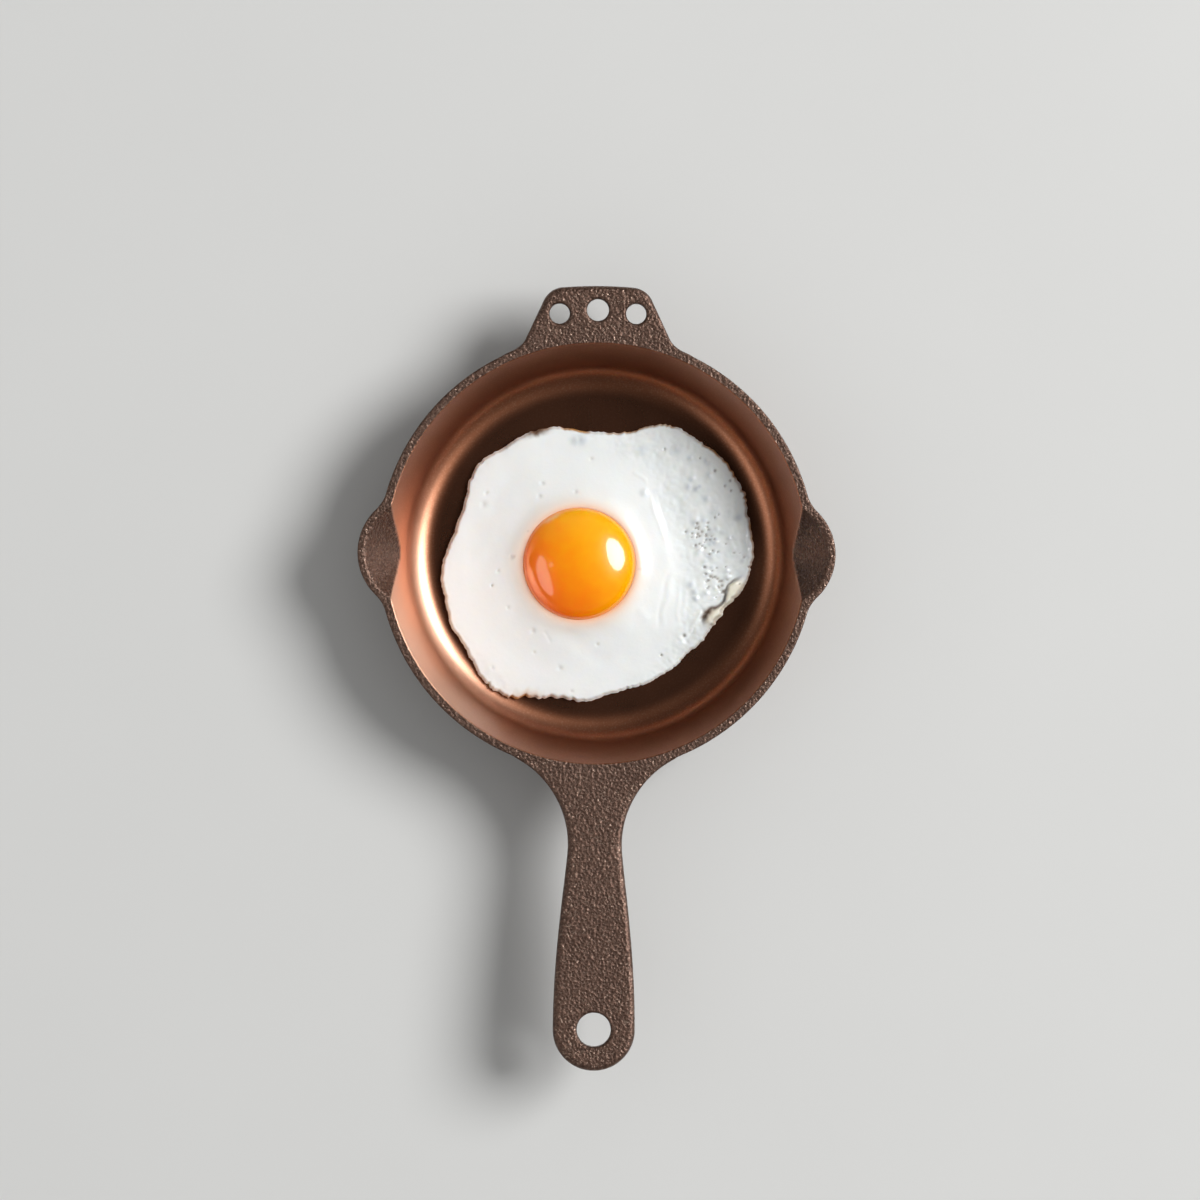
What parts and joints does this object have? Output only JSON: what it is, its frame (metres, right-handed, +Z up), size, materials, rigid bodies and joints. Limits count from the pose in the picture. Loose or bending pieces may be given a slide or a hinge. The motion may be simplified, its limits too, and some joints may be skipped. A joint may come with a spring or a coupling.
{
  "type": "fried egg in skillet",
  "caption": "Sunny-side-up fried egg in a small round cast-iron skillet with pour spouts, a pierced helper handle and a long handle with a hang hole.",
  "frame": {"origin": "on the axis of the pan's bowl, at the flat base that the pan stands on", "axes": "+Z up out of the bowl, the long handle along -Y and the helper handle along +Y, the pour spouts along +X and -X"},
  "size_m": [0.1652, 0.2716, 0.0359],
  "materials": {
    "skillet_iron": "seasoned brown-bronze iron, rough as cast on the rim, handles and outside, smooth satin and coppery where the inside is machined",
    "egg_white": "moist set egg white, thick and opaque by the yolk, thin and greyish where it ran, with a fine golden crisp edge",
    "egg_yolk": "glossy soft orange yolk"
  },
  "bodies": {
    "root": {"skillet": "skillet_iron", "egg_white": "egg_white", "egg_yolk": "egg_yolk"}
  },
  "joints": []
}
